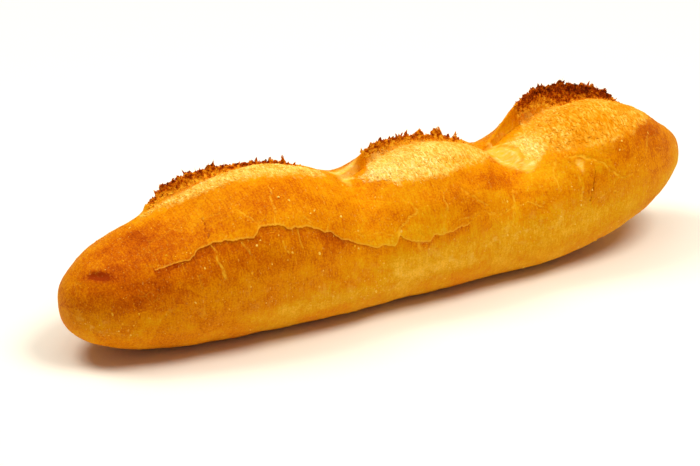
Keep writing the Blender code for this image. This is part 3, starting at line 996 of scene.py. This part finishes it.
def splinter_tree():
    """Ragged flakes of toasted crumb over the ears' faces, and shards that stand along their torn edges."""
    tree, given, out = growing_tree("ear_splinters", (
        ("Density", NUMBER), ("Length", NUMBER), ("Thickness", NUMBER), ("Seed", "NodeSocketInt"),
        ("Finish", "NodeSocketMaterial")))
    torn = held(tree, "torn")
    crest = held(tree, "crest")
    density = maths(tree, "MULTIPLY", torn, given["Density"])
    flake = node(tree, "GeometryNodeMeshIcoSphere", {"Radius": 0.5, "Subdivisions": 1}).outputs["Mesh"]
    spike = node(tree, "GeometryNodeMeshCone", {"Vertices": 4, "Side Segments": 2, "Radius Top": 0.05,
                                                "Radius Bottom": 0.5, "Depth": 1.0}).outputs["Mesh"]
    kinds = ((flake, density, 1.0, 0.9, 0.45, 1.0), (spike, maths(tree, "MULTIPLY", crest, maths(
        tree, "MULTIPLY", given["Density"], 0.12)), 1.7, 2.0, 0.40, 0.45))
    join = tree.nodes.new("GeometryNodeJoinGeometry")
    for number, (shape, amount, long, wide, spread, twist) in enumerate(kinds):
        seed = maths(tree, "ADD", given["Seed"], 40.0 * number)
        spots = node(tree, "GeometryNodeDistributePointsOnFaces",
                     {"Mesh": given["Loaf"], "Density": amount, "Seed": seed})
        way = vector_maths(tree, "ADD", held(tree, "lay", "FLOAT_VECTOR"), random_vector(tree, spread, seed))
        facing = vector_maths(tree, "ADD", random_vector(tree, twist, maths(tree, "ADD", seed, 5.0)),
                              (1.0 - twist, 0.0, 0.0))
        turn = turned_along(tree, way, facing)
        size = maths(tree, "POWER", random_number(tree, 0.0, 1.0, maths(tree, "ADD", seed, 11.0)), 1.8)
        size = maths(tree, "MULTIPLY_ADD", size, 0.7 * long, 0.3 * long)
        length = maths(tree, "MULTIPLY", size, given["Length"])
        girth = random_number(tree, 0.5 * wide, 1.3 * wide, maths(tree, "ADD", seed, 17.0))
        girth = maths(tree, "MULTIPLY", girth, given["Thickness"])
        flat = maths(tree, "MULTIPLY", girth, random_number(tree, 0.25 / wide, 0.6 / wide, maths(tree, "ADD", seed, 19.0)))
        scale = node(tree, "ShaderNodeCombineXYZ", {0: girth, 1: flat, 2: length}).outputs[0]
        placed = node(tree, "GeometryNodeInstanceOnPoints", {
            "Points": spots.outputs["Points"], "Instance": shape, "Rotation": turn, "Scale": scale}).outputs[0]
        wire(tree, shaded(tree, placed, maths(tree, "ADD", seed, 23.0)), join.inputs[0])
    loose = node(tree, "GeometryNodeRealizeInstances", {"Geometry": join.outputs[0]}).outputs[0]
    bent = shaken(tree, shaken(tree, loose, 1.5 * MM, 0.40 * MM), 0.55 * MM, 0.16 * MM)
    finished = node(tree, "GeometryNodeSetMaterial", {"Geometry": bent, "Material": given["Finish"]}).outputs[0]
    wire(tree, finished, out[0])
    return tree


def strand_tree():
    """Short strands of torn crumb that lie across the slashes, held to the surface."""
    tree, given, out = growing_tree("crumb_strands", (
        ("Density", NUMBER), ("Length", NUMBER), ("Thickness", NUMBER), ("Seed", "NodeSocketInt"),
        ("Finish", "NodeSocketMaterial")))
    mask = fade(tree, held(tree, "crumb"), -0.5, 2.5)
    mask = maths(tree, "MULTIPLY", mask, fade(tree, held(tree, "torn"), 0.5, 0.0))
    mask = maths(tree, "MULTIPLY", mask, fade(tree, held(tree, "crumb_pale"), -0.2, 0.4, 0.4, 1.0))
    spots = node(tree, "GeometryNodeDistributePointsOnFaces", {
        "Mesh": given["Loaf"], "Density": maths(tree, "MULTIPLY", mask, given["Density"]), "Seed": given["Seed"]})
    way = vector_maths(tree, "ADD", held(tree, "lay", "FLOAT_VECTOR"), random_vector(tree, 0.75, given["Seed"]))
    turn = turned_along(tree, way, spots.outputs["Normal"], "X")
    line = node(tree, "GeometryNodeCurvePrimitiveLine", {"Start": (-0.5, 0.0, 0.0), "End": (0.5, 0.0, 0.0)}).outputs[0]
    line = node(tree, "GeometryNodeResampleCurve", {"Curve": line, "Count": 4}).outputs[0]
    length = maths(tree, "MULTIPLY", random_number(tree, 0.3, 1.0, 23), given["Length"])
    placed = node(tree, "GeometryNodeInstanceOnPoints", {
        "Points": spots.outputs["Points"], "Instance": line, "Rotation": turn, "Scale": length}).outputs[0]
    lines = node(tree, "GeometryNodeRealizeInstances", {"Geometry": shaded(tree, placed, 29)}).outputs[0]
    lines = shaken(tree, lines, 2.0 * MM, 0.7 * MM)
    resting = node(tree, "GeometryNodeProximity", {0: given["Loaf"]}, target_element="FACES").outputs["Position"]
    lines = node(tree, "GeometryNodeSetPosition", {"Geometry": lines, "Position": resting}).outputs[0]
    along = node(tree, "GeometryNodeSplineParameter").outputs["Factor"]
    slim = maths(tree, "SQRT", maths(tree, "SINE", maths(tree, "MULTIPLY", along, np.pi * 0.98)))
    slim = maths(tree, "MULTIPLY", maths(tree, "MAXIMUM", slim, 0.15), given["Thickness"])
    ring = node(tree, "GeometryNodeCurvePrimitiveCircle", {"Resolution": 3, "Radius": 1.0}).outputs[0]
    tube = node(tree, "GeometryNodeCurveToMesh",
                {"Curve": lines, "Profile Curve": ring, "Scale": slim, "Fill Caps": True})
    finished = node(tree, "GeometryNodeSetMaterial", {"Geometry": tube.outputs[0], "Material": given["Finish"]})
    wire(tree, finished.outputs[0], out[0])
    return tree


def grain_tree():
    """Flattened grains of flour stuck to the crust, thicker where it was dusted."""
    tree, given, out = growing_tree("flour_grains", (
        ("Density", NUMBER), ("Size", NUMBER), ("Seed", "NodeSocketInt"), ("Finish", "NodeSocketMaterial")))
    height = node(tree, "ShaderNodeSeparateXYZ", {0: node(tree, "GeometryNodeInputPosition").outputs[0]}).outputs[2]
    bare = maths(tree, "MULTIPLY", fade(tree, held(tree, "crumb"), 0.0, -1.5), fade(tree, height, 0.8 * MM, 1.6 * MM))
    thick = maths(tree, "MULTIPLY_ADD", held(tree, "flour"), 2.2, 0.45)
    thick = maths(tree, "MULTIPLY", maths(tree, "MULTIPLY", thick, bare), given["Density"])
    spots = node(tree, "GeometryNodeDistributePointsOnFaces",
                 {"Mesh": given["Loaf"], "Density": thick, "Seed": given["Seed"]})
    way = vector_maths(tree, "ADD", held(tree, "lay", "FLOAT_VECTOR"), random_vector(tree, 0.6, given["Seed"]))
    turn = turned_along(tree, way, spots.outputs["Normal"], "X")
    grain = node(tree, "GeometryNodeMeshIcoSphere", {"Radius": 0.5, "Subdivisions": 1}).outputs["Mesh"]
    size = maths(tree, "POWER", random_number(tree, 0.0, 1.0, 31), 3.0)
    size = maths(tree, "MULTIPLY", maths(tree, "MULTIPLY_ADD", size, 0.75, 0.25), given["Size"])
    long_grain = maths(tree, "MULTIPLY", size, random_number(tree, 0.8, 2.2, 37))
    thin = maths(tree, "MULTIPLY", size, 0.15)
    scale = node(tree, "ShaderNodeCombineXYZ", {0: long_grain, 1: size, 2: thin}).outputs[0]
    placed = node(tree, "GeometryNodeInstanceOnPoints", {
        "Points": spots.outputs["Points"], "Instance": grain, "Rotation": turn, "Scale": scale}).outputs[0]
    loose = node(tree, "GeometryNodeRealizeInstances", {"Geometry": shaded(tree, placed, 41)}).outputs[0]
    uneven = shaken(tree, loose, 0.5 * MM, 0.06 * MM)
    finished = node(tree, "GeometryNodeSetMaterial", {"Geometry": uneven, "Material": given["Finish"]}).outputs[0]
    wire(tree, finished, out[0])
    return tree


def grown_on(loaf, tree, values):
    """A new piece that a geometry tree grows from the loaf's mesh, as a plain mesh of its own."""
    grower = bpy.data.objects.new(tree.name, loaf.data)
    bpy.context.scene.collection.objects.link(grower)
    modifier = grower.modifiers.new("grow", "NODES")
    modifier.node_group = tree
    for socket in tree.interface.items_tree:
        if socket.in_out == "INPUT" and socket.name in values:
            modifier[socket.identifier] = values[socket.name]
    evaluated = grower.evaluated_get(bpy.context.evaluated_depsgraph_get())
    mesh = bpy.data.meshes.new_from_object(evaluated)
    grower.modifiers.clear()
    bpy.data.objects.remove(grower)
    mesh.name = tree.name
    piece = bpy.data.objects.new(tree.name, mesh)
    bpy.context.scene.collection.objects.link(piece)
    return piece


def attribute(tree, name):
    return node(tree, "ShaderNodeAttribute", attribute_name=name).outputs["Fac"]


def bread_shader(material):
    shader = material.node_tree.nodes["Principled BSDF"]
    shader.inputs["Specular IOR Level"].default_value = 0.07
    shader.inputs["Specular Tint"].default_value = (1.0, 0.6, 0.2, 1.0)
    shader.inputs["Roughness"].default_value = 0.7
    return shader


def splinter_material(groups):
    material = bpy.data.materials.new("toasted_splinters")
    material.use_nodes = True
    tree = material.node_tree
    shader = bread_shader(material)
    place = node(tree, "ShaderNodeTexCoord").outputs["Object"]
    toasted = maths(tree, "MULTIPLY_ADD", attribute(tree, "toasted"), 0.85, -0.08)
    toasted = maths(tree, "MULTIPLY_ADD", attribute(tree, "shade"), 0.42, toasted)
    ear = use_group(tree, groups["toasted_edge"], {"Place": place, "Toasted": toasted})
    wire(tree, ear.outputs["Color"], shader.inputs["Base Color"])
    return material


def strand_material(groups):
    material = bpy.data.materials.new("crumb_strands")
    material.use_nodes = True
    tree = material.node_tree
    shader = bread_shader(material)
    place = node(tree, "ShaderNodeTexCoord").outputs["Object"]
    uneven = fade(tree, speckle(tree, place, 260.0, 3.0), 0.3, 0.7, -0.20, 0.20)
    value = maths(tree, "ADD", maths(tree, "MULTIPLY_ADD", attribute(tree, "crumb_pale"), 0.38, 0.24), uneven)
    value = maths(tree, "MULTIPLY_ADD", attribute(tree, "shade"), 0.28, value)
    color = shades(tree, value, (0.0, GOLD), (0.30, CRUMB_GOLD), (0.65, CRUMB_PALE), (1.0, CRUMB_CREAM))
    wire(tree, color, shader.inputs["Base Color"])
    return material


def flour_material(groups):
    material = bpy.data.materials.new("flour_grains")
    material.use_nodes = True
    tree = material.node_tree
    shader = bread_shader(material)
    place = node(tree, "ShaderNodeTexCoord").outputs["Object"]
    worn = fade(tree, speckle(tree, place, 400.0, 2.0), 0.3, 0.7, -0.3, 0.3)
    shade = maths(tree, "ADD", attribute(tree, "shade"), worn)
    wire(tree, tint(tree, shade, (0.84, 0.36, 0.01, 1.0), (0.95, 0.60, 0.10, 1.0)), shader.inputs["Base Color"])
    return material


def make_growths(loaf, groups):
    splinters = grown_on(loaf, splinter_tree(), {
        "Density": 2.5e6, "Length": 1.4 * MM, "Thickness": 0.70 * MM, "Seed": 3, "Finish": splinter_material(groups)})
    strands = grown_on(loaf, strand_tree(), {
        "Density": 1.5e6, "Length": 1.8 * MM, "Thickness": 0.18 * MM, "Seed": 8, "Finish": strand_material(groups)})
    grains = grown_on(loaf, grain_tree(), {
        "Density": 2.8e4, "Size": 1.10 * MM, "Seed": 5, "Finish": flour_material(groups)})
    return splinters, strands, grains


def crust_material(groups):
    material = bpy.data.materials.new("baguette_crust")
    material.use_nodes = True
    tree = material.node_tree
    shader = tree.nodes["Principled BSDF"]
    place = node(tree, "ShaderNodeTexCoord").outputs["Object"]
    skin = node(tree, "ShaderNodeCombineXYZ", {0: attribute(tree, "along"), 1: attribute(tree, "around")}).outputs[0]

    bake = attribute(tree, "bake")
    cracks = use_group(tree, groups["crackle"], {"Place": place, "Line": attribute(tree, "crack")})
    plates = fade(tree, cracks.outputs["Plate"], 0.0, 1.0, -0.05, 0.05)
    ledge = attribute(tree, "ledge")
    # Darker crust just under the ledge: partly painted shade of the overlapping upper plate, partly darker baking
    under_ledge_shade_and_bake = maths(tree, "MULTIPLY", fade(tree, ledge, -0.1, 0.15), fade(tree, ledge, 7.0, 0.3, 0.0, 0.18))
    bake = maths(tree, "ADD", maths(tree, "ADD", bake, plates), under_ledge_shade_and_bake)
    color = use_group(tree, groups["golden_bake"], {"Place": place, "Skin": skin, "Bake": bake}).outputs["Color"]
    tone = attribute(tree, "crack_tone")
    pale_crack = maths(tree, "MULTIPLY", cracks.outputs["Pale"], fade(tree, tone, 0.0, 1.0, 0.0, 0.85))
    color = tint(tree, maths(tree, "MAXIMUM", pale_crack, maths(tree, "MULTIPLY", cracks.outputs["Fine"], 0.22)), color,
                 (*SKIN_GOLD, 1.0))
    dark_crack = maths(tree, "MULTIPLY", cracks.outputs["Pale"], fade(tree, tone, 0.0, -1.0, 0.0, 0.8))
    color = tint(tree, dark_crack, color, (*CHESTNUT, 1.0))
    # Painted highlight: a pale line along the lit edge of the ledge, just above its step
    ledge_edge_highlight = maths(tree, "MULTIPLY", fade(tree, ledge, -0.9, -0.25), fade(tree, ledge, 0.05, -0.1, 0.0, 0.36))
    color = tint(tree, ledge_edge_highlight, color, (*MEMBRANE, 1.0))
    membrane = attribute(tree, "membrane")
    color = tint(tree, fade(tree, membrane, 0.0, 0.8), color, use_group(
        tree, groups["stretched_skin"], {"Place": place, "Skin": skin, "Stretch": membrane}).outputs["Color"])
    dust = use_group(tree, groups["flour_dust"], {"Place": place, "Skin": skin, "Amount": attribute(tree, "flour")})
    color = tint(tree, maths(tree, "MULTIPLY", dust.outputs["Cover"], 0.58), color, (*FLOUR, 1.0))

    crumb = use_group(tree, groups["crumb_fibres"],
                      {"Place": place, "Skin": skin, "Pale": attribute(tree, "crumb_pale"), "Bump": attribute(tree, "crumb_bump")})
    ragged = fade(tree, speckle(tree, place, 420.0, 4.0, 0.65), 0.3, 0.7, -1.5, 1.5)
    inside = fade(tree, maths(tree, "ADD", attribute(tree, "crumb"), ragged), -0.6, 3.4)
    color = tint(tree, inside, color, crumb.outputs["Color"])

    toasted = attribute(tree, "toasted")
    ear = use_group(tree, groups["toasted_edge"], {"Place": place, "Toasted": toasted})
    ear_share = fade(tree, maths(tree, "ADD", attribute(tree, "torn"), toasted), 0.15, 0.6)
    color = tint(tree, ear_share, color, ear.outputs["Color"])
    wire(tree, color, shader.inputs["Base Color"])

    grain = speckle(tree, place, 900.0, 3.0, 0.65)
    height = maths(tree, "ADD", maths(tree, "MULTIPLY", grain, 0.60), maths(tree, "MULTIPLY", cracks.outputs["Height"], 0.5))
    fibre_height = maths(tree, "MULTIPLY", crumb.outputs["Height"], 2.0)
    height = node(tree, "ShaderNodeMix", {0: inside, 2: height, 3: fibre_height}).outputs[0]
    bump = node(tree, "ShaderNodeBump", {"Height": height, "Strength": 0.5, "Distance": 0.0004})
    wire(tree, bump.outputs["Normal"], shader.inputs["Normal"])
    roughness = fade(tree, grain, 0.3, 0.7, 0.55, 0.75)
    wire(tree, roughness, shader.inputs["Roughness"])
    shader.inputs["Specular IOR Level"].default_value = 0.07
    shader.inputs["Specular Tint"].default_value = (1.0, 0.6, 0.2, 1.0)
    return material


def main():
    groups = {made.name: made for made in (golden_bake(), crackle(), flour_dust(), stretched_skin_color(),
                                           crumb_fibres(), toasted_edge())}
    loaf = make_loaf()
    loaf.data.materials.append(crust_material(groups))
    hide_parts("loaf")
    for piece in (loaf, *make_growths(loaf, groups)):
        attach(piece, "root")
    make_floor()
    make_lights()
    make_camera()


# ---------------------------------------------------------------- stage, lights and camera


def make_floor():
    mesh = bpy.data.meshes.new("floor")
    reach = 4.0
    mesh.from_pydata([(-reach, -reach, 0.0), (reach, -reach, 0.0), (reach, reach, 0.0), (-reach, reach, 0.0)], [],
                     [(0, 1, 2, 3)])
    material = bpy.data.materials.new("pale_floor")
    material.use_nodes = True
    shader = material.node_tree.nodes["Principled BSDF"]
    shader.inputs["Base Color"].default_value = (0.97, 0.915, 0.78, 1.0)
    shader.inputs["Roughness"].default_value = 0.9
    mesh.materials.append(material)
    floor = bpy.data.objects.new("floor", mesh)
    bpy.context.scene.collection.objects.link(floor)


def add_area_light(name, place, aim, size, power, color):
    light = bpy.data.lights.new(name, "AREA")
    light.shape = "DISK"
    light.size = size
    light.energy = power
    light.color = color
    lamp = bpy.data.objects.new(name, light)
    lamp.location = place
    lamp.rotation_euler = (Vector(aim) - Vector(place)).to_track_quat("-Z", "Y").to_euler()
    bpy.context.scene.collection.objects.link(lamp)


def make_lights():
    """A pale room, a large lamp behind on the left, one in front on the right, and a weak one overhead."""
    world = bpy.data.worlds.new("studio")
    world.use_nodes = True
    background = world.node_tree.nodes["Background"]
    background.inputs["Color"].default_value = (1.0, 0.97, 0.93, 1.0)
    background.inputs["Strength"].default_value = 0.14
    bpy.context.scene.world = world
    middle = (0.0, 0.0, 0.02)
    add_area_light("back_lamp", (-0.46, 0.46, 1.13), middle, 0.6, 8.6, (1.0, 0.98, 0.95))
    add_area_light("front_lamp", (0.50, -0.38, 1.22), middle, 0.6, 12.4, (1.0, 0.98, 0.95))
    add_area_light("overhead_lamp", (0.0, 0.0, 1.3), middle, 1.0, 5.4, (1.0, 0.98, 0.95))


def make_camera():
    """Looks at the loaf from in front, to its left and above, with a long lens."""
    camera = bpy.data.cameras.new("camera")
    camera.lens = 147.6
    camera.sensor_width = 36.0
    place = bpy.data.objects.new("camera", camera)
    turn, rise, distance = np.radians(26.5), np.radians(28.0), 1.1
    towards = Vector((np.sin(turn) * np.cos(rise), np.cos(turn) * np.cos(rise), -np.sin(rise)))
    right = Vector((np.cos(turn), -np.sin(turn), 0.0))
    up = right.cross(towards)
    middle = Vector((0.0, 0.0, 0.030))
    place.location = middle - distance * towards
    aim = middle - 11.7 * MM * right - 6.7 * MM * up
    place.rotation_euler = (aim - place.location).to_track_quat("-Z", "Y").to_euler()
    bpy.context.scene.collection.objects.link(place)
    bpy.context.scene.camera = place
    bpy.context.scene.view_settings.view_transform = "Standard"


main()
